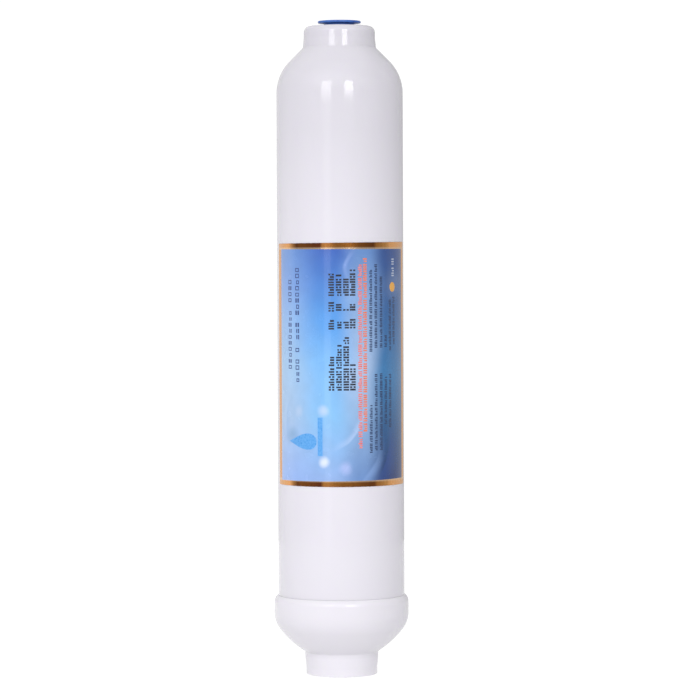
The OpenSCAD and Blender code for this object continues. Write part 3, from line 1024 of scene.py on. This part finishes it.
def world_light():
    """A white wall all round for the camera, and for the object a studio that is dim low in front."""
    world = bpy.data.worlds.new("studio")
    world.use_nodes = True
    nodes, links = world.node_tree.nodes, world.node_tree.links
    wall = nodes["Background"]
    wall.inputs["Color"].default_value = (1, 1, 1, 1)
    wall.inputs["Strength"].default_value = WALL_SEEN

    def feed(socket, value):
        if isinstance(value, bpy.types.NodeSocket):
            links.new(value, socket)
        else:
            socket.default_value = value

    def calc(operation, a, b=0.0):
        made = nodes.new("ShaderNodeMath")
        made.operation = operation
        feed(made.inputs[0], a)
        feed(made.inputs[1], b)
        return made.outputs[0]

    def step(value, low, high, to_low, to_high):
        made = nodes.new("ShaderNodeMapRange")
        made.interpolation_type = "SMOOTHSTEP"
        feed(made.inputs["Value"], value)
        feed(made.inputs["From Min"], low)
        feed(made.inputs["From Max"], high)
        feed(made.inputs["To Min"], to_low)
        feed(made.inputs["To Max"], to_high)
        return made.outputs["Result"]

    coords = nodes.new("ShaderNodeTexCoord")
    swing = nodes.new("ShaderNodeVectorRotate")
    swing.rotation_type = "Z_AXIS"
    swing.inputs["Angle"].default_value = -VIEW_TURN
    links.new(coords.outputs["Generated"], swing.inputs["Vector"])
    split = nodes.new("ShaderNodeSeparateXYZ")
    links.new(swing.outputs[0], split.inputs[0])
    x, y, z = split.outputs
    turn = calc("ARCTAN2", x, calc("MULTIPLY", y, -1.0))
    behind = step(turn, *BACK_CHANGE, BACK_LEFT, BACK_RIGHT)
    facing = calc("ADD", calc("MULTIPLY", x, FACING[0]), calc("MULTIPLY", y, FACING[1]))
    ahead = step(z, *FRONT_RISE, FRONT_LOW, step(facing, 0.0, 1.0, SIDE_HIGH, FRONT_HIGH))
    around = step(calc("ABSOLUTE", turn), *FRONT_EDGE, ahead, behind)
    strength = step(z, *ZENITH_RISE, around, ZENITH)
    studio_light = nodes.new("ShaderNodeBackground")
    links.new(strength, studio_light.inputs["Strength"])
    path = nodes.new("ShaderNodeLightPath")
    mix = nodes.new("ShaderNodeMixShader")
    links.new(path.outputs["Is Camera Ray"], mix.inputs[0])
    links.new(studio_light.outputs[0], mix.inputs[1])
    links.new(wall.outputs[0], mix.inputs[2])
    links.new(mix.outputs[0], nodes["World Output"].inputs["Surface"])
    SCENE.world = world


def floor_material():
    """A floor that glows white for the camera, unevenly for the object, and is clear from below."""
    s = Shader("pale_floor", Roughness=0.9)
    s.set("Base Color", s.mix(s.span(s.noise(3, 2), 0.3, 0.7), (0.07, 0.07, 0.07), (0.09, 0.09, 0.09)))
    s.main.inputs["Emission Color"].default_value = (1, 1, 1, 1)
    glow = s.span(s.split(s.coords)[0], *FLOOR_CHANGE, FLOOR_LEFT, FLOOR_RIGHT)
    seen = s.node("LightPath").outputs["Is Camera Ray"]
    s.set("Emission Strength", s.span(seen, 0, 1, glow, FLOOR_SEEN))
    under = s.node("NewGeometry").outputs["Backfacing"]
    clear = s.node("BsdfTransparent").outputs[0]
    surface = s.node("MixShader", {0: under, 1: s.main.outputs[0], 2: clear}).outputs[0]
    s.links.new(surface, s.nodes["Material Output"].inputs["Surface"])
    return s.material


def studio():
    """The floor and the light from all round, shown without any film curve."""
    bm = bmesh.new()
    turns = [2 * math.pi * i / FLOOR_SIDES for i in range(FLOOR_SIDES)]
    bm.faces.new([bm.verts.new((FLOOR_R * math.cos(a), FLOOR_R * math.sin(a), -FLOOR_DROP)) for a in turns])
    floor = new_object("floor", bm)
    if floor.data.polygons[0].normal.z < 0:
        floor.data.flip_normals()
    put(floor, floor_material())
    world_light()
    SCENE.view_settings.view_transform = "Standard"


def softbox(name, turn, wide, low, high, radiance):
    """A softbox centred that many degrees round from the front and that many degrees wide.

    It fills the elevations from low to high, in degrees, seen from the top of the barrel."""
    a = math.radians(turn) + VIEW_TURN
    base = ARC_C_Z + SOFTBOX_DISTANCE * math.tan(math.radians(low))
    top = ARC_C_Z + SOFTBOX_DISTANCE * math.tan(math.radians(high))
    data = bpy.data.lights.new(name, "AREA")
    data.shape = "RECTANGLE"
    data.size = 2 * SOFTBOX_DISTANCE * math.tan(math.radians(wide / 2))
    data.size_y = top - base
    data.energy = radiance * math.pi * data.size * data.size_y
    lamp = bpy.data.objects.new(name, data)
    lamp.location = (SOFTBOX_DISTANCE * math.sin(a), -SOFTBOX_DISTANCE * math.cos(a), (base + top) / 2)
    aim = Vector((-lamp.location.x, -lamp.location.y, 0))
    lamp.rotation_euler = aim.to_track_quat("-Z", "Y").to_euler()
    lamp.visible_camera = False
    SCENE.collection.objects.link(lamp)


def lights():
    softbox("softbox_left", -24, 18, 3.2, 27, 4.0)
    softbox("softbox_right", 17, 16, 3.5, 27, 6.5)
    softbox("softbox_streak", -23, 12, -12, 2.4, 0.6)


def camera():
    """The photograph's point of view."""
    data = bpy.data.cameras.new("camera")
    data.lens = CAMERA_FOCAL
    data.sensor_width = SENSOR_WIDTH
    eye = bpy.data.objects.new("camera", data)
    swing = Matrix.Rotation(VIEW_TURN, 4, "Z")
    eye.location = swing @ Vector((CAMERA_SIDE, -CAMERA_DISTANCE, CAMERA_HEIGHT))
    aim = swing @ Vector((CAMERA_SIDE, 0, AIM_HEIGHT)) - eye.location
    eye.rotation_euler = (aim.to_track_quat("-Z", "Y").to_matrix().to_4x4()
                          @ Matrix.Rotation(math.radians(CAMERA_ROLL), 4, "Z")).to_euler()
    SCENE.collection.objects.link(eye)
    SCENE.camera = eye


camera()
studio()
lights()
housing()
end_cap()
label_film()
label_border()
print_rows()
emblems()
dust_plug()
grids()
screens()
pads()
carbon()
